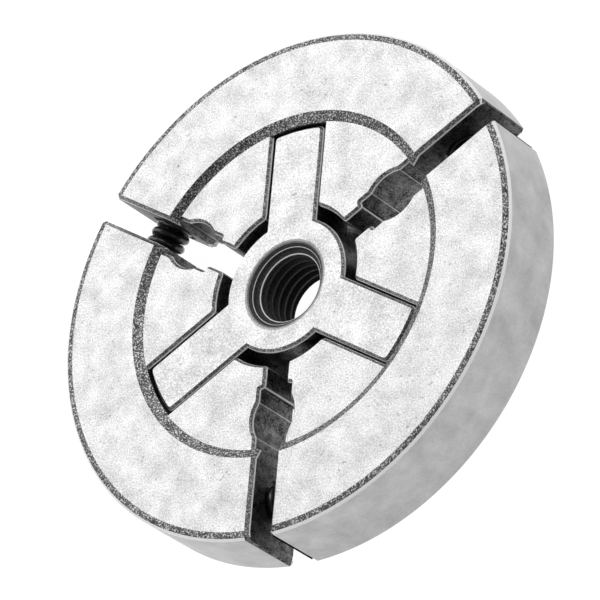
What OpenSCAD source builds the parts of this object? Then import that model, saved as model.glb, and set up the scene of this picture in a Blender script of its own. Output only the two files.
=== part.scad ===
// Three-shoe centrifugal clutch: a threaded hub with three arms, three shoes that
// slide out along the arms, and three extension springs that pull them back in.
// The origin is on the bore axis, in the plane of the shoes' back faces.

/* [Clutch] */
// Outer diameter of the closed shoes
outer_d = 65; // [60:0.5:75]
// Thickness of the shoes' rim
rim_h = 9.4; // [8.5:0.1:12]
// Width of the gap between neighbouring shoes
gap_w = 3.12; // [2.4:0.1:3.6]
// Width of the shallow slope and the turn beside it round the outer edge
edge_out = 1.08; // [0.5:0.02:1.4]
// Depth of that slope where the turn starts
edge_dip = 0.15; // [0.05:0.01:0.3]
// Width of the steeper turn between the slope and the rim's wall
edge_turn = 0.3; // [0.1:0.05:0.4]
// Depth of the turn where it meets the rim's wall
edge_down = 0.4; // [0.35:0.05:0.8]

/* [Shoes] */
// Radial width of the thick rim at its top face
rim_w = 10.3; // [9.5:0.1:11]
// Radial run of the slopes that lead from the rim to the lobes, front and back
slope_w = 1.2; // [0.4:0.1:1.8]
// Depth of the lobes' front faces below the rim's top face
lobe_drop = 0.62; // [0.3:0.02:1]
// Height of the lobes' back faces above the rim's back face
lobe_lift = 1.65; // [1:0.05:2.5]
// Radius of the lobes' inner edges, round the hub
lobe_in_r = 10.3; // [9.6:0.1:11]
// Running clearance between an arm and the sides of its slot
slide_play = 0.25; // [0.1:0.05:0.4]

/* [Tool pockets] */
// Radius at which the gap widens into the tool pocket
pocket_r = 13.05; // [12:0.05:14]
// Width of the pocket between its flats
pocket_w = 4.56; // [4:0.05:5]
// Radius of the hollow in each flat
hollow_r = 4; // [3.5:0.1:5]
// Greatest width of the pocket, between the hollows
hollow_w = 5.9; // [5.2:0.1:6.5]
// Distance of the hollows from the bore axis
hollow_at = 17; // [16:0.1:18]

/* [Hub] */
// Radius of the hub boss
hub_r = 8.6; // [8:0.1:9.2]
// Radius of the flange that the arms stand on
flange_r = 10; // [8.8:0.1:10]
// Radius of the flange's lip, which reaches behind the lobes
lip_r = 11; // [10:0.1:12]
// Height of the lip's top, below the lobes' back faces
lip_h = 1.4; // [0.8:0.05:1.5]
// Depth of the hub's front face below the rim's top face
hub_drop = 0.75; // [0.4:0.05:1.2]
// Width of each arm
arm_w = 7.24; // [6:0.1:8]
// Radius of the arms' ends
arm_r = 20.67; // [19:0.1:20.8]
// Radius of the bore at the thread's crests
bore_r = 4.32; // [3.4:0.01:5]
// Radius of the lead-in at the front
lead_r = 5.56; // [5.2:0.02:6]
// Depth of the lead-in at the front
lead_h = 1.1; // [0.5:0.1:1.5]
// Width and height of the chamfer at the back of the bore
back_chamfer = 0.7; // [0.3:0.1:1]

/* [Springs] */
// Distance of the spring's axis from the bore axis
spring_at = 26.1; // [25.8:0.1:26.8]
// Height of the springs' axes above the rim's back face
spring_z = 3.85; // [3.7:0.05:4.9]
// Outer diameter of the coils
spring_d = 4.8; // [4.2:0.1:4.9]
// Diameter of the wire
wire_d = 1.2; // [0.9:0.05:1.25]
// Number of turns in the close-wound body
turns = 6; // [4:2:6]
// Distance of each anchor post from the middle of the gap
post_at = 7.5; // [7.2:0.1:8]
// Diameter of the anchor posts
post_d = 1.8; // [1.4:0.1:1.8]
// Radius of the round tunnel that holds the spring
tunnel_r = 2.9; // [2.6:0.05:3]

/* [Hidden] */
$fn = 96;
shoes = 3;
first_shoe = 90;              // direction of shoe 1's arm, in degrees
half_step = 180 / shoes;      // from the middle of a shoe to a gap
over = 1;                     // how far a cut runs past the face it opens
outer_r = outer_d / 2;
rim_in_r = outer_r - rim_w;   // the rim's inner edge at its top face
wall_r = rim_in_r - slope_w;  // the foot of the slope, where the lobes start
lobe_top = rim_h - lobe_drop;
hub_top = rim_h - hub_drop;
slot_w = arm_w + 2 * slide_play;
slot_r = arm_r + slide_play;
post_foot = 0.9;              // height of the posts' free ends above the back face
coil_r = (spring_d - wire_d) / 2;
coil_pitch = wire_d + 0.04;
body_half = turns * coil_pitch / 2;
hook_play = 0.06;             // between a hook and its post
hook_at = post_at + post_d / 2 + hook_play - (coil_r - wire_d / 2);
ring_steps = 14;              // rings of the swept wire in one turn
wire_sides = 6;
hook_open = 40;               // angle left open where a hook starts and ends

// Direction of the gap that follows a shoe, and of that shoe's arm, in degrees
function arm_angle(shoe) = first_shoe + (shoe - 1) * 2 * half_step;
function gap_angle(shoe) = arm_angle(shoe) + half_step;

// Outline of the rim turned about the bore axis, with its inner and outer slopes
module rim_outline() {
    polygon([
        [wall_r, lobe_lift],
        [rim_in_r, 0],
        [outer_r - edge_out, 0],
        [outer_r - edge_turn, edge_dip],
        [outer_r, edge_down],
        [outer_r, rim_h - edge_down],
        [outer_r - edge_turn, rim_h - edge_dip],
        [outer_r - edge_out, rim_h],
        [rim_in_r, rim_h],
        [wall_r, lobe_top],
    ]);
}

// Everything on the far side of one end of a shoe; the gap's middle lies along +X
module shoe_end_cut() {
    translate([-outer_r, -2 * outer_r + gap_w / 2, -over])
        cube([3 * outer_r, 2 * outer_r, rim_h + 2 * over]);
}

// One side of the tool pocket, cut into the lobe beside the gap along +X
module pocket_side_cut() {
    pocket_len = wall_r - pocket_r;
    translate([0, 0, -over]) {
        translate([pocket_r, -over, 0])
            cube([pocket_len, pocket_w / 2 + over, rim_h + 2 * over]);
        intersection() {
            translate([hollow_at, hollow_w / 2 - hollow_r, 0])
                cylinder(r = hollow_r, h = rim_h + 2 * over);
            translate([pocket_r, -over, 0])
                cube([pocket_len, hollow_w, rim_h + 2 * over]);
        }
    }
}

// The blind tunnel for one end of a spring, from the gap along +X to its post, with a
// round window in the back face that the hook is lifted over the post through
module tunnel_cut() {
    translate([spring_at, -over, spring_z])
        rotate([-90, 0, 0])
            cylinder(r = tunnel_r, h = post_at + over);
    translate([spring_at, post_at, spring_z])
        sphere(r = tunnel_r);
    translate([spring_at, post_at, -over])
        cylinder(r = tunnel_r, h = spring_z + over);
}

// The post that a spring's end hooks over, standing from the tunnel's roof
module anchor_post() {
    translate([spring_at, post_at, post_foot])
        cylinder(d = post_d, h = rim_h - post_foot - over);
}

// Repeats what is made beside a gap along +X at both ends of a shoe along +X
module at_both_ends() {
    rotate([0, 0, -half_step]) children();
    mirror([0, 1, 0]) rotate([0, 0, -half_step]) children();
}

module shoe_body() {
    difference() {
        union() {
            rotate_extrude() rim_outline();
            translate([0, 0, lobe_lift]) cylinder(r = wall_r + over / 2, h = lobe_top - lobe_lift);
        }
        translate([0, 0, -over]) cylinder(r = lobe_in_r, h = rim_h + 2 * over);
        at_both_ends() {
            shoe_end_cut();
            pocket_side_cut();
        }
        intersection() {
            translate([0, -slot_w / 2, -over]) cube([outer_r, slot_w, rim_h + 2 * over]);
            translate([0, 0, -over]) cylinder(r = slot_r, h = rim_h + 2 * over);
        }
    }
}

module shoe(number) {
    color("silver")
        rotate([0, 0, arm_angle(number)])
            union() {
                difference() {
                    shoe_body();
                    at_both_ends() tunnel_cut();
                }
                at_both_ends() anchor_post();
            }
}

module shoe_1() { shoe(1); }
module shoe_2() { shoe(2); }
module shoe_3() { shoe(3); }

// Outline of the bore turned about its axis: the lead-in, the thread's crests and
// the chamfer at the back
module bore_outline() {
    polygon([
        [0, -over],
        [bore_r + back_chamfer + over, -over],
        [bore_r, back_chamfer],
        [bore_r, hub_top - lead_h],
        [lead_r, hub_top],
        [lead_r, hub_top + over],
        [0, hub_top + over],
    ]);
}

module spider_hub() {
    color("gainsboro")
        difference() {
            union() {
                cylinder(r = hub_r, h = hub_top);
                cylinder(r = flange_r, h = lobe_lift);
                cylinder(r = lip_r, h = lip_h);
                for (number = [1 : shoes])
                    rotate([0, 0, arm_angle(number)])
                        intersection() {
                            translate([0, -arm_w / 2, lobe_lift])
                                cube([outer_r, arm_w, hub_top - lobe_lift]);
                            cylinder(r = arm_r, h = rim_h);
                        }
            }
            rotate_extrude() bore_outline();
        }
}

// The wire's centre line, along X with the loops in the XY plane
function bezier(a, b, c, d, t) =
    pow(1 - t, 3) * a + 3 * pow(1 - t, 2) * t * b + 3 * (1 - t) * t * t * c + pow(t, 3) * d;
function coil_point(t) =
    let (turn = 360 * turns * (t - 0.5) + 180)
    [(2 * t - 1) * body_half, coil_r * cos(turn), coil_r * sin(turn)];
function hook_point(t) =
    let (turn = hook_open + (360 - 2 * hook_open) * t)
    [hook_at - coil_r * cos(turn), coil_r * sin(turn), 0];
function hook_way(t) =
    let (turn = hook_open + (360 - 2 * hook_open) * t)
    [sin(turn), cos(turn), 0];

coil_steps = turns * ring_steps;
lead_steps = 5;
lead_pull = coil_r * 0.7;
coil_end = coil_point(1);
coil_end_turn = 180 * (turns + 1);
coil_end_way = [0, -sin(coil_end_turn), cos(coil_end_turn)];
half_wire = concat(
    [for (i = [coil_steps / 2 : coil_steps]) coil_point(i / coil_steps)],
    [for (i = [1 : lead_steps])
        bezier(coil_end, coil_end + lead_pull * coil_end_way,
            hook_point(0) - lead_pull * hook_way(0), hook_point(0), i / lead_steps)],
    [for (i = [1 : ring_steps]) hook_point(i / ring_steps)]
);
// The other half is the same wire turned half round about the Y axis
last = len(half_wire) - 1;
wire_line = concat(
    [for (i = [last : -1 : 1]) [-half_wire[i][0], half_wire[i][1], -half_wire[i][2]]],
    half_wire
);

function unit(v) = v / norm(v);
function wire_way(i) =
    unit(wire_line[min(i + 1, len(wire_line) - 1)] - wire_line[max(i - 1, 0)]);
// A frame carried along the wire without twisting, so that the rings never cross
function carried(normal, way) = unit(normal - (normal * way) * way);
function frames(i, normal) =
    i == len(wire_line) ? [] :
    let (here = carried(normal, wire_way(i)))
    concat([here], frames(i + 1, here));

module spring_wire() {
    normals = frames(0, [0, 0, 1]);
    rings = [for (i = [0 : len(wire_line) - 1], side = [0 : wire_sides - 1])
        let (turn = 360 * side / wire_sides, across = cross(wire_way(i), normals[i]))
        wire_line[i] + wire_d / 2 * (cos(turn) * normals[i] + sin(turn) * across)];
    sides = [for (i = [0 : len(wire_line) - 2], side = [0 : wire_sides - 1])
        let (a = i * wire_sides + side, b = i * wire_sides + (side + 1) % wire_sides)
        [a, b, b + wire_sides, a + wire_sides]];
    caps = [[for (side = [wire_sides - 1 : -1 : 0]) side],
        [for (side = [0 : wire_sides - 1]) len(rings) - wire_sides + side]];
    polyhedron(points = rings, faces = concat(sides, caps));
}

module spring(number) {
    color([0.12, 0.12, 0.13])
        rotate([0, 0, gap_angle(number)])
            translate([spring_at, 0, spring_z])
                rotate([0, 0, 90])
                    spring_wire();
}

module spring_1() { spring(1); }
module spring_2() { spring(2); }
module spring_3() { spring(3); }

spider_hub();
shoe_1();
shoe_2();
shoe_3();
spring_1();
spring_2();
spring_3();
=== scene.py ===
import math

import bmesh
import bpy
from mathutils import Matrix, Vector
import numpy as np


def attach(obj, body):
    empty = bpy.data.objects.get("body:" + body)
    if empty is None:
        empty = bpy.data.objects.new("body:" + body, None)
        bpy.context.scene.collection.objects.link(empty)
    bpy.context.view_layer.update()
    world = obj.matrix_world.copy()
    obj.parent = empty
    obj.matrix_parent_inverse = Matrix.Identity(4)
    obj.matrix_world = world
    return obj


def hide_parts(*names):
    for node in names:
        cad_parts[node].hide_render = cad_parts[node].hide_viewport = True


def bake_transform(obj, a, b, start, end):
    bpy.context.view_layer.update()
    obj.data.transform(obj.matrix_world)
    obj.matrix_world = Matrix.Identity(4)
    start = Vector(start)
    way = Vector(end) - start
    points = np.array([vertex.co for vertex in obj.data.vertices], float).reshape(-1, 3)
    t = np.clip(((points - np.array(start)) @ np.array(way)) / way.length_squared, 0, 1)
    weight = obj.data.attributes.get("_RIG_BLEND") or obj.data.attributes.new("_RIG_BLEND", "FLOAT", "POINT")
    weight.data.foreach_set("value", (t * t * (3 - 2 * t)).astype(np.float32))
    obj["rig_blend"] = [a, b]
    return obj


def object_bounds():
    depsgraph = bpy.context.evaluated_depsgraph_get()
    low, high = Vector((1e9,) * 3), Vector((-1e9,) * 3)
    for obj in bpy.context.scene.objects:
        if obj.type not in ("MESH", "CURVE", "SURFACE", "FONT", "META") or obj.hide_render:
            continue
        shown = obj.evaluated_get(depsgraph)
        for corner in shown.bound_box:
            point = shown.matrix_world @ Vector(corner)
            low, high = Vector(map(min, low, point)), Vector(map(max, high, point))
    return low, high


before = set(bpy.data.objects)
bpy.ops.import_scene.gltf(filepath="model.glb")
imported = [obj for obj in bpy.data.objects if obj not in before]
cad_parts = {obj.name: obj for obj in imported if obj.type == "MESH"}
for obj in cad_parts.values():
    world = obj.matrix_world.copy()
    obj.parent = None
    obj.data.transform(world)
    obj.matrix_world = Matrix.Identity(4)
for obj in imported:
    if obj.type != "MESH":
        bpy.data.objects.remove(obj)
cad_low, cad_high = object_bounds()
scene = bpy.context.scene

# Sizes are in millimetres and angles in degrees. The camera's distances, the lights'
# places and sizes, and the table's half width are in metres. Points that lie within
# near of each other, or very_near on what is turned, are taken as one.
MM = 0.001
near, very_near = 1e-4, 1e-5


# The studio. A long lens looks down on the front faces, rolled so that the first
# arm points almost straight up. A wide soft light behind the clutch and two smaller
# ones fill the flat faces, and the air overhead is dim, so that slopes read darker.
rim_top = cad_high.z / MM
aim_x, aim_y = 3.14, -3.06
camera_azimuth, camera_elevation, camera_roll = -36.9, 45.09, 56.87
camera_distance = 0.5263
lens_mm, sensor_mm = 270, 36
clip_near, clip_far = 0.01, 20


def heading(azimuth, elevation):
    """The unit vector that points that way from the clutch, its angles in degrees."""
    azimuth, elevation = math.radians(azimuth), math.radians(elevation)
    return Vector((
        math.cos(azimuth) * math.cos(elevation),
        math.sin(azimuth) * math.cos(elevation),
        math.sin(elevation),
    ))


aim = Vector((aim_x, aim_y, rim_top)) * MM
back = heading(camera_azimuth, camera_elevation)
level = (-back).cross(Vector((0, 0, 1))).normalized()
upright = level.cross(-back)
roll = math.radians(camera_roll)
camera_up = math.cos(roll) * upright + math.sin(roll) * level
camera_right = camera_up.cross(back)
camera_data = bpy.data.cameras.new("camera")
camera_data.lens = lens_mm
camera_data.sensor_width = sensor_mm
camera_data.clip_start, camera_data.clip_end = clip_near, clip_far
camera = bpy.data.objects.new("camera", camera_data)
turn = Matrix((camera_right, camera_up, back)).transposed().to_4x4()
camera.matrix_world = Matrix.Translation(aim + back * camera_distance) @ turn
scene.collection.objects.link(camera)
scene.camera = camera
scene.view_settings.view_transform = "Standard"


class Link:
    """One output of a node tree. Arithmetic on it adds Math nodes, and node() adds any other."""

    def __init__(self, tree, socket=None):
        self.tree, self.socket = tree, socket

    def node(self, kind, settings=None, sockets=None, output=0):
        """Adds a node, sets its properties and its inputs, and returns one of its outputs."""
        made = self.tree.nodes.new(kind)
        for name, value in (settings or {}).items():
            if name == "stops":
                while len(made.color_ramp.elements) < len(value):
                    made.color_ramp.elements.new(1)
                for element, (place, grey) in zip(made.color_ramp.elements, value):
                    element.position, element.color = place, (grey, grey, grey, 1)
            else:
                setattr(made, name, value)
        for name, value in (sockets or {}).items():
            if isinstance(value, Link):
                self.tree.links.new(value.socket, made.inputs[name])
            else:
                made.inputs[name].default_value = value
        return Link(self.tree, made.outputs[output]) if made.outputs else None

    def math(self, operation, *values):
        """The result of one Math node on those values."""
        return self.node("ShaderNodeMath", {"operation": operation}, dict(enumerate(values)))

    def __add__(self, other):
        return self.math("ADD", self, other)

    def __sub__(self, other):
        return self.math("SUBTRACT", self, other)

    def __rsub__(self, other):
        return self.math("SUBTRACT", other, self)

    def __mul__(self, other):
        return self.math("MULTIPLY", self, other)

    __radd__, __rmul__ = __add__, __mul__

    def above(self, low, high):
        """0 where the value is under low, 1 where it is over high."""
        return self.node("ShaderNodeMapRange", {}, {0: self, 1: low, 2: high})

    def towards(self, other, share):
        """This value where share is 0, and the other where it is 1."""
        return self + (other - self) * share


def tree_of(owner):
    """The emptied node tree of a material or world."""
    owner.use_nodes = True
    owner.node_tree.nodes.clear()
    return Link(owner.node_tree)


def surface(tree, sockets):
    """Ends a material's tree in one Principled surface with those inputs."""
    tree.node("ShaderNodeOutputMaterial", {}, {0: tree.node("ShaderNodeBsdfPrincipled", {}, sockets)})


def millimetres(tree):
    """The place on the object, in millimetres."""
    place = tree.node("ShaderNodeTexCoord", output="Object")
    return tree.node("ShaderNodeVectorMath", {"operation": "SCALE"}, {0: place, "Scale": 1 / MM})


def grey(tree, shade):
    """The colour whose three channels are all that shade."""
    return tree.node("ShaderNodeCombineColor", {}, {0: shade, 1: shade, 2: shade})


air_low, air_high = 0.80, 0.16
low_stop, high_stop = 0.15, 0.6
scene.world = bpy.data.worlds.new("studio_air")
air = tree_of(scene.world)
direction = air.node("ShaderNodeTexCoord", output="Generated")
height = air.node("ShaderNodeSeparateXYZ", {}, {0: direction}, output="Z")
air_stops = [(low_stop, air_low), (high_stop, air_high)]
air_shade = air.node("ShaderNodeValToRGB", {"stops": air_stops}, {0: height})
air.node("ShaderNodeOutputWorld", {}, {0: air.node("ShaderNodeBackground", {}, {0: air_shade})})


def softbox(name, azimuth, elevation, distance, width, depth, brightness):
    """A rectangular soft light that faces the clutch, as bright as a surface of that radiance."""
    data = bpy.data.lights.new(name, "AREA")
    data.shape = "RECTANGLE"
    data.size, data.size_y = width, depth
    data.energy = brightness * math.pi * width * depth
    light = bpy.data.objects.new(name, data)
    away = heading(azimuth, elevation)
    facing = away.to_track_quat("Z", "Y").to_matrix().to_4x4()
    light.matrix_world = Matrix.Translation(away * distance) @ facing
    scene.collection.objects.link(light)


softbox_away = 0.9
softbox("back_softbox", 132, 42, softbox_away, width=1.1, depth=0.7, brightness=1.5)
softbox("left_softbox", 215, 42, softbox_away, width=0.5, depth=0.6, brightness=1.5)
softbox("right_softbox", 60, 50, softbox_away, width=0.45, depth=0.45, brightness=3)


# The table that the clutch lies on: one pale sheet, lit as evenly as paper on a light box.
floor_half = 3
floor_gap = 0.02
floor_glow = 0.98
floor_bm = bmesh.new()
bmesh.ops.create_grid(floor_bm, x_segments=1, y_segments=1, size=floor_half)
bmesh.ops.translate(floor_bm, vec=(0, 0, -floor_gap * MM), verts=floor_bm.verts)
floor_mesh = bpy.data.meshes.new("floor")
floor_bm.to_mesh(floor_mesh)
floor_bm.free()
floor = bpy.data.objects.new("floor", floor_mesh)
scene.collection.objects.link(floor)
paper = bpy.data.materials.new("pale_paper")
surface(tree_of(paper), {
    "Base Color": (0.12, 0.12, 0.12, 1),
    "Roughness": 0.9,
    "Emission Color": (1, 1, 1, 1),
    "Emission Strength": floor_glow,
})
floor_mesh.materials.append(paper)


# The hub: a pressed and sintered steel spider with three arms, chamfered by the press
# tool along its outlines. It has a flange and a wider lip behind, and a left-hand
# thread that a tap has cut.
hub_drop, hub_r = 0.75, 8.6
flange_r, flange_foot, flange_sunk = 10, 0.5, 0.02
lip_r, lip_top = 11, 1.4
arm_w, arm_r, arm_corner = 7.24, 20.67, 0.6
arm_back = 1.65
tip_least, tip_reach = 60, 1
crest_r, root_r, pitch = 4.32, 5, 1.25
crest_flat, root_flat = pitch / 4, pitch / 8
lead_r, lead_depth, back_chamfer = 5.56, 1.1, 0.7
lead_step_r, lead_step_depth, lead_soft = 4.98, 0.5, 0.28
# Widths of the lead-in's two rounded inner edges, which carry a painted highlight.
foot_highlight_width, step_highlight_width = 0.11, 0.06
press_chamfer, flange_chamfer, edge_break = 0.36, 0.15, 0.10
disc_steps, bore_steps = 120, 112
cut_past, thread_past = 0.3, 0.5
flat_tilt, gentle_tilt, wall_tilt = 0.995, 0.8, 0.1
# The steep chamfers get less of the slopes' painted shade than the shallow bands.
steep_slope_shade = 0.85
bored_reach, bored_end, bored_fade = 0.3, 0.4, 0.7
hub_top = rim_top - hub_drop
first_arm, third = 90, 120


def arc(radius, start, end, steps, centre=(0, 0)):
    """Points along an arc about a centre, its angles in degrees."""
    angles = [math.radians(start + (end - start) * i / steps) for i in range(steps + 1)]
    return [(centre[0] + radius * math.cos(a), centre[1] + radius * math.sin(a)) for a in angles]


def circle(radius, steps, centre=(0, 0)):
    """Points round a whole circle, the first not repeated."""
    return arc(radius, 0, 360, steps, centre)[:-1]


def turned(points, angle):
    """Points turned about the origin, the angle in degrees."""
    c, s = math.cos(math.radians(angle)), math.sin(math.radians(angle))
    return [(x * c - y * s, x * s + y * c) for x, y in points]


def blank():
    """An empty mesh, ready to have faces marked for a painted highlight."""
    bm = bmesh.new()
    bm.faces.layers.float.new("worn")
    return bm


def slab(points, low, high):
    """A closed solid with that outline, between two heights."""
    bm = blank()
    base = bm.faces.new([bm.verts.new((x, y, low)) for x, y in points])
    raised = bmesh.ops.extrude_face_region(bm, geom=[base])["geom"]
    top = [v for v in raised if isinstance(v, bmesh.types.BMVert)]
    bmesh.ops.translate(bm, vec=(0, 0, high - low), verts=top)
    bmesh.ops.recalc_face_normals(bm, faces=bm.faces)
    return bm


def bevelled(bm, edges, width, segments):
    """Bevels edges, and returns the faces that the bevel made."""
    return bmesh.ops.bevel(
        bm, geom=list(edges), offset=width, segments=segments, profile=0.5,
        affect="EDGES", material=-1, clamp_overlap=False,
    )["faces"]


def outline_edges(bm, *heights):
    """The edges that lie at one of those heights."""
    return [
        e for e in bm.edges
        if any(all(abs(v.co.z - z) < near for v in e.verts) for z in heights)
    ]


def corner_edges(bm, least):
    """The upright edges where the outline turns by more than that angle, in degrees."""
    shortest = 1
    return [
        e for e in bm.edges
        if abs(e.verts[0].co.z - e.verts[1].co.z) > shortest and len(e.link_faces) == 2
        and e.calc_face_angle(0) > math.radians(least)
    ]


def chamfered(bm, edges, width):
    """Chamfers edges, and rounds the line between each chamfer and the wall beside it,
    and marks that rounding for a painted highlight: a pale line where light would glint."""
    worn = bm.faces.layers.float["worn"]
    chamfers = set(bevelled(bm, edges, width, 1))
    bm.normal_update()
    wall_lines = [
        e for e in bm.edges
        if len(chamfers.intersection(e.link_faces)) == 1
        and sum(abs(f.normal.z) < wall_tilt for f in e.link_faces) == 1
    ]
    for face in bevelled(bm, wall_lines, edge_break, 2):
        face[worn] = 1


def combined(body, tool, operation):
    """The solid body after the solid tool is joined to it or cut from it."""
    holders = []
    for part in (body, tool):
        mesh = bpy.data.meshes.new("blank")
        part.to_mesh(mesh)
        part.free()
        holder = bpy.data.objects.new("blank", mesh)
        scene.collection.objects.link(holder)
        holders.append(holder)
    cut = holders[0].modifiers.new("cut", "BOOLEAN")
    cut.operation, cut.object, cut.solver = operation, holders[1], "MANIFOLD"
    bpy.context.view_layer.update()
    made = bmesh.new()
    made.from_object(holders[0], bpy.context.evaluated_depsgraph_get())
    for holder in holders:
        mesh = holder.data
        bpy.data.objects.remove(holder)
        bpy.data.meshes.remove(mesh)
    return made


def spun(profile, start, end, steps):
    """A closed profile of (radius, height) points turned about the Z axis."""
    bm = blank()
    verts = [bm.verts.new((r, 0, z)) for r, z in profile]
    sides = [(verts[i - 1], verts[i]) for i in range(len(verts))]
    edges = [bm.edges.new(side) for side in sides if any(v.co.x for v in side)]
    begin = Matrix.Rotation(math.radians(start), 3, "Z")
    bmesh.ops.rotate(bm, cent=(0, 0, 0), matrix=begin, verts=verts)
    full = end - start == 360
    bmesh.ops.spin(
        bm, geom=verts + edges, cent=(0, 0, 0), axis=(0, 0, 1),
        angle=math.radians(end - start), steps=steps, use_merge=full,
    )
    bmesh.ops.remove_doubles(bm, verts=bm.verts, dist=very_near)
    bmesh.ops.recalc_face_normals(bm, faces=bm.faces)
    return bm


def sliced(bm, point, normal):
    """Cuts off what lies beyond a plane, and closes the cut. Returns the closing edges."""
    cut = bmesh.ops.bisect_plane(
        bm, geom=bm.verts[:] + bm.edges[:] + bm.faces[:],
        plane_co=point, plane_no=normal, clear_outer=True,
    )["geom_cut"]
    rim = [e for e in cut if isinstance(e, bmesh.types.BMEdge)]
    bmesh.ops.edgeloop_fill(bm, edges=rim)
    return rim


def tap(low, high, steps=56):
    """A solid screw of the left-hand thread's own form, between two heights."""
    flank = (pitch - crest_flat - root_flat) / 2
    form = [
        (root_r, 0), (root_r, root_flat), (crest_r, root_flat + flank),
        (crest_r, pitch - flank), (root_r, pitch),
    ]
    spare_turns = 3
    turns = math.ceil((high - low) / pitch) + spare_turns
    bm = blank()
    verts = [bm.verts.new((r, 0, low - spare_turns / 2 * pitch + z)) for r, z in form]
    edges = [bm.edges.new(pair) for pair in zip(verts, verts[1:])]
    bmesh.ops.spin(
        bm, geom=verts + edges, cent=(0, 0, 0), axis=(0, 0, 1), dvec=(0, 0, pitch / steps),
        angle=-math.tau * turns, steps=steps * turns,
    )
    bmesh.ops.remove_doubles(bm, verts=bm.verts, dist=near)
    sliced(bm, (0, 0, low), (0, 0, -1))
    sliced(bm, (0, 0, high), (0, 0, 1))
    bmesh.ops.recalc_face_normals(bm, faces=bm.faces)
    return bm


def hub_outline():
    """The spider's outline: three arms with curved ends, and the round boss between them."""
    half = arm_w / 2
    at_end = math.degrees(math.asin(half / arm_r))
    at_hub = math.degrees(math.asin(half / hub_r))
    points = []
    for k in range(3):
        one = arc(arm_r, -at_end, at_end, 6) + arc(hub_r, at_hub, third - at_hub, 40)
        points += turned(one, first_arm + k * third)
    return points


def lead_in():
    """The stepped lead-in at the front of the bore, its two inner edges marked for a painted highlight
    and its outer edge rounded over."""
    foot, step = hub_top - lead_depth, hub_top - lead_step_depth
    foot_edge = [
        (crest_r, foot - 0.08), (crest_r + 0.04, foot - 0.02), (crest_r + foot_highlight_width, foot + 0.02),
    ]
    step_edge = [
        (lead_step_r - 0.12, foot + 0.16), (lead_step_r, step), (lead_step_r + step_highlight_width, step + 0.05),
    ]
    soft_edge = [
        (lead_r - 0.16, hub_top - 0.14), (lead_r + 0.02, hub_top - 0.045),
        (lead_r + lead_soft, hub_top),
    ]
    below, over = foot - 0.4, hub_top + cut_past
    bm = spun([
        (0, below), (crest_r, below), *foot_edge, *step_edge, *soft_edge,
        (lead_r + lead_soft, over), (0, over),
    ], 0, 360, bore_steps)
    worn = bm.faces.layers.float["worn"]
    # The two inner edges' rings are marked for a painted highlight.
    for face in bm.faces:
        out = face.calc_center_median().xy.length
        on_foot = crest_r + 0.01 < out < crest_r + foot_highlight_width
        if on_foot or lead_step_r < out < lead_step_r + step_highlight_width:
            face[worn] = 1
    return bm


def lead_out():
    """The plain chamfer at the back of the bore."""
    past_r = crest_r + back_chamfer + cut_past
    return spun([
        (0, -cut_past), (past_r, -cut_past), (crest_r, back_chamfer), (0, back_chamfer),
    ], 0, 360, bore_steps)


def disc(radius, low, high, *edge_heights):
    """A round plate between two heights, chamfered at the edges that lie at those heights."""
    bm = slab(circle(radius, disc_steps), low, high)
    chamfered(bm, outline_edges(bm, *edge_heights), flange_chamfer)
    return bm


def hub_solid():
    """The whole hub: the spider, its flange and lip behind, and the bore cut through them."""
    bm = slab(hub_outline(), arm_back, hub_top)
    tip_r = arm_r - tip_reach
    tips = [e for e in corner_edges(bm, tip_least) if e.verts[0].co.xy.length > tip_r]
    bevelled(bm, tips, arm_corner, 5)
    chamfered(bm, outline_edges(bm, arm_back, hub_top), press_chamfer)
    flange_top = arm_back + flange_sunk
    bm = combined(bm, disc(flange_r, flange_foot, flange_top, flange_top), "UNION")
    bm = combined(bm, disc(lip_r, 0, lip_top, 0, lip_top), "UNION")
    bm = combined(bm, tap(-thread_past, hub_top - lead_depth - cut_past), "DIFFERENCE")
    bm = combined(bm, lead_in(), "DIFFERENCE")
    return combined(bm, lead_out(), "DIFFERENCE")


def marked(bm, bore_r=0, ground_r=1e9):
    """Marks each face with the kind of surface it is, for the material, which paints shade on the slopes,
    the walls and the bore.
    """
    kinds = {n: bm.faces.layers.float.new(n) for n in ("side", "slope", "bored", "ground")}
    bm.normal_update()
    for face in bm.faces:
        middle = face.calc_center_median()
        tilt, out = abs(face.normal.z), middle.xy.length
        # The bore's faces are marked for painted shade, fading out across the lead-in.
        if out < bore_r + bored_reach and tilt < flat_tilt:
            face[kinds["bored"]] = min(1, (bore_r + bored_end - out) / bored_fade)
        elif tilt < wall_tilt and out > ground_r:
            face[kinds["ground"]] = 1
        # Walls are marked for a shade that is partly painted, standing in for the shadow in the gaps.
        elif tilt < wall_tilt:
            face[kinds["side"]] = 1
        elif tilt < flat_tilt:
            face[kinds["slope"]] = 1 if tilt > gentle_tilt else steep_slope_shade


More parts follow.
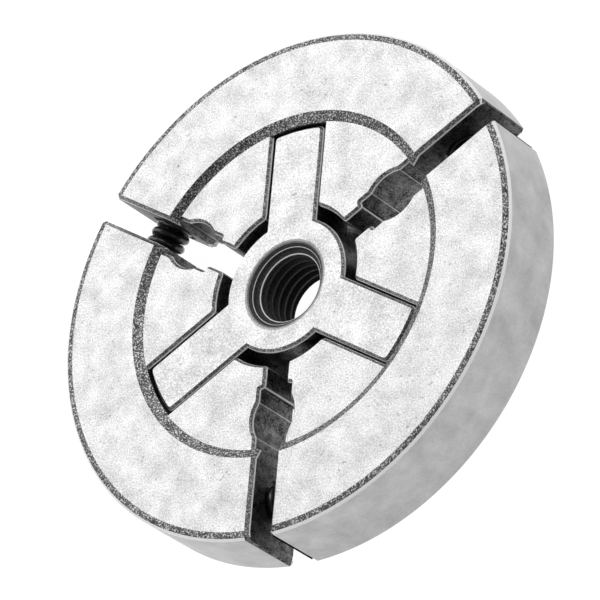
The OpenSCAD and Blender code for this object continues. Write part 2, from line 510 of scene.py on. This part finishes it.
def sintered_steel(name, seed):
    """Pressed steel: pale dusty faces; grainier slopes, their darkness partly painted shade;
    walls darker, partly as painted shade; the bore near black as painted shade; rounded edge lines pale as a
    painted highlight.
    """
    material = bpy.data.materials.new(name)
    tree = tree_of(material)
    place = tree.node(
        "ShaderNodeVectorMath", {"operation": "ADD"}, {0: millimetres(tree), 1: (seed, 0, 0)})

    def noise(size, detail):
        """Noise from 0 to 1, its blotches that many millimetres wide."""
        return tree.node("ShaderNodeTexNoise", {}, {
            "Vector": place, "Scale": 1 / size, "Detail": detail, "Roughness": 0.6}, output="Fac")

    def swing(field, size):
        """The field's swing to both sides of its middle, that strong."""
        return (field - 0.5) * size

    def mark(kind):
        """How far a face is of that kind, from 0 to 1."""
        return tree.node("ShaderNodeAttribute", {"attribute_name": kind}, output="Fac")

    face_grey, shaded_slope_grey, shaded_side_grey, ground_grey, shaded_bore_grey = 0.68, 0.08, 0.12, 0.42, 0.0375
    darkest, palest = 0.015, 0.95
    grain, cloud, patch = noise(0.2, 3), noise(3.2, 3), noise(1.1, 4)
    specks = noise(0.4, 1).above(0.66, 0.76)
    face = face_grey + swing(grain, 1.3) + swing(cloud, 0.6) - specks * 0.4
    # Slopes: grainy and partly dark of their own, darkened further as painted shade for the dim air they
    # reflect.
    slope = shaded_slope_grey + swing(patch, 0.25) + grain.above(0.51, 0.63) * 0.6
    # Walls: unmachined and darker of their own, darkened further as painted shade for the shadow in the gaps
    # and hollows.
    side = shaded_side_grey + swing(grain, 0.6) + swing(patch, 0.5)
    ground = ground_grey + swing(cloud, 0.3) + swing(grain, 0.2)
    # The bore is painted near black and barely metallic: painted shade in the deep hole.
    bored = shaded_bore_grey + swing(grain, 0.15)
    shade = face.towards(slope, mark("slope")).towards(side, mark("side"))
    shade = shade.towards(ground, mark("ground"))
    # The marked rounded edges are painted pale and not metallic: a painted highlight.
    shade = shade.towards(bored, mark("bored")).towards(palest, mark("worn"))
    shade = tree.node("ShaderNodeClamp", {}, {0: shade, 1: darkest, 2: palest})
    rough = (0.46 - mark("ground") * 0.1 + mark("bored") * 0.35) + swing(patch, 0.16)
    relief = tree.node("ShaderNodeBump", {}, {
        "Height": grain * (1 - mark("ground") * 0.85), "Strength": 0.35, "Distance": 0.02 * MM})
    surface(tree, {
        "Base Color": grey(tree, shade),
        "Metallic": 1 - mark("worn") - mark("bored") * 0.9,
        "Roughness": rough,
        "Normal": relief,
    })
    return material


def finished(name, bm, material, sharp=25):
    """Makes the object of a solid built in millimetres, with flat faces kept flat when shaded."""
    bmesh.ops.scale(bm, vec=(MM, MM, MM), verts=bm.verts)
    mesh = bpy.data.meshes.new(name)
    bm.to_mesh(mesh)
    bm.free()
    mesh.materials.clear()
    mesh.materials.append(material)
    mesh.shade_smooth()
    mesh.set_sharp_from_angle(angle=math.radians(sharp))
    piece = bpy.data.objects.new(name, mesh)
    scene.collection.objects.link(piece)
    return piece


def keep_flat(piece):
    """Keeps the wide faces flat in their shading beside the narrow bevels."""
    piece.modifiers.new("flat_faces", "WEIGHTED_NORMAL").keep_sharp = True


hub_bm = hub_solid()
marked(hub_bm, bore_r=lead_r)
hub = finished("hub_spider", hub_bm, sintered_steel("hub_sintered_steel", 0))
keep_flat(hub)
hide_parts("spider_hub")
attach(hub, "hub")


# The shoes: three sintered steel weights with a thick rim that grips the drum, and two
# thin lobes that reach in beside the hub's arm. The rim's wall is ground round.
outer_r, gap_half = 32.5, 1.56
rim_in_r, slope_run = 22.2, 1.2
edge_out, edge_dip, edge_turn, edge_down = 1.08, 0.15, 0.3, 0.4
turn_in, turn_down, turn_thin = 0.12, 0.09, 0.03
rim_steps = 96
lobe_drop, lobe_lift, lobe_in_r = 0.62, arm_back, 10.3
slot_play = 0.25
slot_half, slot_r = arm_w / 2 + slot_play, arm_r + slot_play
pocket_r, pocket_half = 13.05, 2.28
hollow_r, hollow_half, hollow_at = 4, 2.95, 17
end_chamfer = 0.46
corner_set, shallow_set, hollow_set = 0.42, 0.15, 0.15
corner_least, square_least, corner_highlight = 25, 55, 0.6
lobe_root_r, root_reach = 21.6, 2
spring_at, spring_z = 26.1, 3.85
tunnel_r, window_r, open_past = 2.9, 2.85, 1
post_at, post_r, post_foot, post_top = 7.5, 0.9, 0.9, 8.4
half_step = third / 2
lobe_top = rim_top - lobe_drop


def rim_solid():
    """One third of the rim, from gap to gap, its slot end on the inner side."""
    reach = (rim_in_r - slot_r) / slope_run
    edge = [
        (outer_r, edge_down), (outer_r - turn_in, edge_dip + turn_down),
        (outer_r - edge_turn, edge_dip), (outer_r - edge_out, 0),
    ]
    profile = [
        (slot_r, lobe_lift * reach), (rim_in_r, 0), *reversed(edge),
        *((r, rim_top - z) for r, z in edge), (rim_in_r, rim_top),
        (slot_r, rim_top - lobe_drop * reach),
    ]
    bm = spun(profile, -half_step, half_step, rim_steps)
    # The outer edge's rounding is marked for a painted highlight.
    worn = bm.faces.layers.float["worn"]
    for face in bm.faces:
        if outer_r - edge_turn < face.calc_center_median().xy.length < outer_r - turn_thin:
            face[worn] = 1
    ends = []
    for side in (-1, 1):
        across = Vector((*turned([(0, side)], side * half_step)[0], 0))
        ends += sliced(bm, -across * gap_half, across)
    bmesh.ops.recalc_face_normals(bm, faces=bm.faces)
    inner = slot_r + 0.01
    ends = [e for e in ends if max(v.co.xy.length for v in e.verts) > inner]
    chamfered(bm, ends, end_chamfer)
    return bm


def lobe_solid():
    """The lobe on the shoe's left side, from the slot to the gap, its root inside the rim."""
    flat = math.sqrt(hollow_r ** 2 - (hollow_r - hollow_half + pocket_half) ** 2)
    bend = math.degrees(math.asin(flat / hollow_r))
    root_x = math.sqrt(lobe_root_r ** 2 - pocket_half ** 2)
    inner_x = math.sqrt(lobe_in_r ** 2 - gap_half ** 2)
    beside_gap = [
        (inner_x, -gap_half), (pocket_r, -gap_half), (pocket_r, -pocket_half),
        *arc(hollow_r, -90 - bend, -90 + bend, 12, (hollow_at, hollow_r - hollow_half)),
        (root_x, -pocket_half),
    ]
    at_root = half_step - math.degrees(math.asin(pocket_half / lobe_root_r))
    at_gap = half_step - math.degrees(math.asin(gap_half / lobe_in_r))
    slot_out = math.degrees(math.asin(slot_half / lobe_root_r))
    slot_in = math.degrees(math.asin(slot_half / lobe_in_r))
    points = turned(beside_gap, half_step) + arc(lobe_root_r, at_root, slot_out, 16)[1:]
    points += arc(lobe_in_r, slot_in, at_gap, 8)[:-1]
    bm = slab(points, lobe_lift, lobe_top)
    bm.normal_update()
    worn = bm.faces.layers.float["worn"]
    free_r, square_turn = lobe_root_r - root_reach, math.radians(square_least)
    corners = [e for e in corner_edges(bm, corner_least) if e.verts[0].co.xy.length < free_r]
    square = [e for e in corners if e.is_convex and e.calc_face_angle(0) > square_turn]
    shallow = [e for e in corners if e.is_convex and e not in square]
    hollow = [e for e in corners if not e.is_convex]
    for chosen, setback in ((square, corner_set), (shallow, shallow_set), (hollow, hollow_set)):
        made = set(bevelled(bm, [e for e in chosen if e.is_valid], setback, 3))
        # The middle faces of each rounded outer corner get part of the painted highlight.
        for face in made:
            beside = sum(all(f in made for f in e.link_faces) for e in face.edges)
            if beside == 2 and chosen is not hollow:
                face[worn] = corner_highlight
    chamfered(bm, outline_edges(bm, lobe_lift, lobe_top), press_chamfer)
    return bm


def spring_tunnel():
    """The round blind tunnel for a spring's end, from the gap along +X to its post."""
    round_end = arc(tunnel_r, 0, 90, 12, (0, post_at))
    bm = spun([(0, -open_past), (tunnel_r, -open_past), *round_end], 0, 360, 48)
    lie_down = Matrix.Rotation(math.radians(90), 4, "X")
    place = Matrix.Translation((spring_at, 0, spring_z)) @ lie_down
    bmesh.ops.transform(bm, matrix=place, verts=bm.verts)
    return bm


def at_post(radius, low, high):
    """An upright cylinder at the spring's post beside the gap along +X."""
    return slab(circle(radius, 48, (spring_at, -post_at)), low, high)


def mirrored(bm):
    """The solid flipped across the X axis, its normals still outward."""
    bmesh.ops.scale(bm, vec=(1, -1, 1), verts=bm.verts)
    bmesh.ops.recalc_face_normals(bm, faces=bm.faces)
    return bm


def at_end(bm, side):
    """Moves what is made on the near side of a gap along +X to one end of the shoe."""
    bm = mirrored(bm) if side < 0 else bm
    angle = Matrix.Rotation(math.radians(side * half_step), 3, "Z")
    bmesh.ops.rotate(bm, cent=(0, 0, 0), matrix=angle, verts=bm.verts)
    return bm


def shoe_solid():
    """A whole shoe along +X."""
    bm = combined(rim_solid(), lobe_solid(), "UNION")
    bm = combined(bm, mirrored(lobe_solid()), "UNION")
    for side in (1, -1):
        bm = combined(bm, at_end(spring_tunnel(), side), "DIFFERENCE")
        bm = combined(bm, at_end(at_post(window_r, -open_past, spring_z), side), "DIFFERENCE")
        bm = combined(bm, at_end(at_post(post_r, post_foot, post_top), side), "UNION")
    return bm


shoe_steel = sintered_steel("shoe_sintered_steel", 7)
pattern = shoe_solid()
marked(pattern, ground_r=outer_r - 0.02)
for k in range(3):
    name = f"shoe_{k + 1}"
    bm = pattern.copy()
    angle = Matrix.Rotation(math.radians(first_arm + k * third), 3, "Z")
    bmesh.ops.rotate(bm, cent=(0, 0, 0), matrix=angle, verts=bm.verts)
    shoe = finished(name + "_weight", bm, shoe_steel)
    keep_flat(shoe)
    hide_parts(name)
    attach(shoe, name)
pattern.free()


# The springs: close-wound extension springs of black oil-tempered wire, with a full
# loop bent over at each end that hooks round a post inside the shoes.
spring_d, wire_d = 4.8, 1.2
turns_wound, coil_gap = 6, 0.04
hook_play, hook_open = 0.06, 40
ring_steps, wire_sides = 28, 12
coil_r = (spring_d - wire_d) / 2
body_half = turns_wound * (wire_d + coil_gap) / 2
hook_at = post_at + post_r + hook_play - (coil_r - wire_d / 2)
lead_steps, lead_pull = 8, coil_r * 0.7


def coil_point(t):
    """A point of the wound body, along X, from one end at 0 to the other at 1."""
    angle = math.tau * turns_wound * (t - 0.5) + math.pi
    return Vector(((2 * t - 1) * body_half, coil_r * math.cos(angle), coil_r * math.sin(angle)))


def hook_angle(t):
    """The angle round the hook, from where it starts at 0 to its open end at 1."""
    return math.radians(hook_open + (360 - 2 * hook_open) * t)


def hook_point(t):
    """A point of the hook, which lies flat round the post."""
    angle = hook_angle(t)
    return Vector((hook_at - coil_r * math.cos(angle), coil_r * math.sin(angle), 0))


def lead_point(t):
    """A point of the bend that leads from the last coil into the hook."""
    ends = math.pi * (turns_wound + 1)
    a, d = coil_point(1), hook_point(0)
    b = a + lead_pull * Vector((0, -math.sin(ends), math.cos(ends)))
    c = d - lead_pull * Vector((math.sin(hook_angle(0)), math.cos(hook_angle(0)), 0))
    return (1 - t) ** 3 * a + 3 * (1 - t) ** 2 * t * b + 3 * (1 - t) * t * t * c + t ** 3 * d


def wire_line():
    """The wire's centre line from hook to hook. One half is the other turned about the Y axis."""
    steps = turns_wound * ring_steps
    half = [coil_point(i / steps) for i in range(steps // 2, steps + 1)]
    half += [lead_point(i / lead_steps) for i in range(1, lead_steps + 1)]
    half += [hook_point(i / ring_steps) for i in range(1, ring_steps + 1)]
    return [Vector((-p.x, p.y, -p.z)) for p in reversed(half[1:])] + half


def spring_steel():
    """Black oil-tempered wire: a thin glossy scale with faint drawing marks and rubbed spots."""
    material = bpy.data.materials.new("black_spring_wire")
    tree = tree_of(material)
    scale = tree.node("ShaderNodeTexNoise", {}, {
        "Vector": millimetres(tree), "Scale": 2, "Detail": 4}, output="Fac")
    rubbed = scale.above(0.62, 0.8)
    surface(tree, {
        "Base Color": grey(tree, 0.012 + scale * 0.02 + rubbed * 0.08),
        "Metallic": 0.5,
        "Roughness": 0.22 + scale * 0.16,
        "Coat Weight": 0.6,
        "Coat Roughness": 0.15,
        "Normal": tree.node("ShaderNodeBump", {}, {
            "Height": scale, "Strength": 0.15, "Distance": 0.02 * MM}),
    })
    return material


def spring_solid():
    """The wire, swept round its centre line as a curve with round ends, in millimetres."""
    line = wire_line()
    data = bpy.data.curves.new("wire", "CURVE")
    data.dimensions = "3D"
    data.bevel_depth = wire_d / 2
    data.bevel_resolution = wire_sides // 4 + 1
    data.use_fill_caps = True
    data.twist_mode = "MINIMUM"
    spline = data.splines.new("POLY")
    spline.points.add(len(line) - 1)
    for point, place in zip(spline.points, line):
        point.co = (*place, 1)
    holder = bpy.data.objects.new("wire", data)
    scene.collection.objects.link(holder)
    bpy.context.view_layer.update()
    bm = bmesh.new()
    bm.from_mesh(holder.evaluated_get(bpy.context.evaluated_depsgraph_get()).to_mesh())
    bpy.data.objects.remove(holder)
    bpy.data.curves.remove(data)
    bmesh.ops.remove_doubles(bm, verts=bm.verts, dist=near)
    bmesh.ops.recalc_face_normals(bm, faces=bm.faces)
    return bm


wire_steel = spring_steel()
for k in range(3):
    gap_angle = first_arm + half_step + k * third
    bm = spring_solid()
    place = (
        Matrix.Rotation(math.radians(gap_angle), 4, "Z")
        @ Matrix.Translation((spring_at, 0, spring_z))
        @ Matrix.Rotation(math.radians(90), 4, "Z")
    )
    bmesh.ops.transform(bm, matrix=place, verts=bm.verts)
    name = f"spring_{k + 1}"
    spring = finished(name + "_wire", bm, wire_steel, sharp=50)
    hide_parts(name)
    middle = Vector((*turned([(spring_at, 0)], gap_angle)[0], spring_z)) * MM
    along = Vector((*turned([(0, body_half)], gap_angle)[0], 0)) * MM
    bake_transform(spring, f"shoe_{k + 1}", name, start=middle - along, end=middle + along)
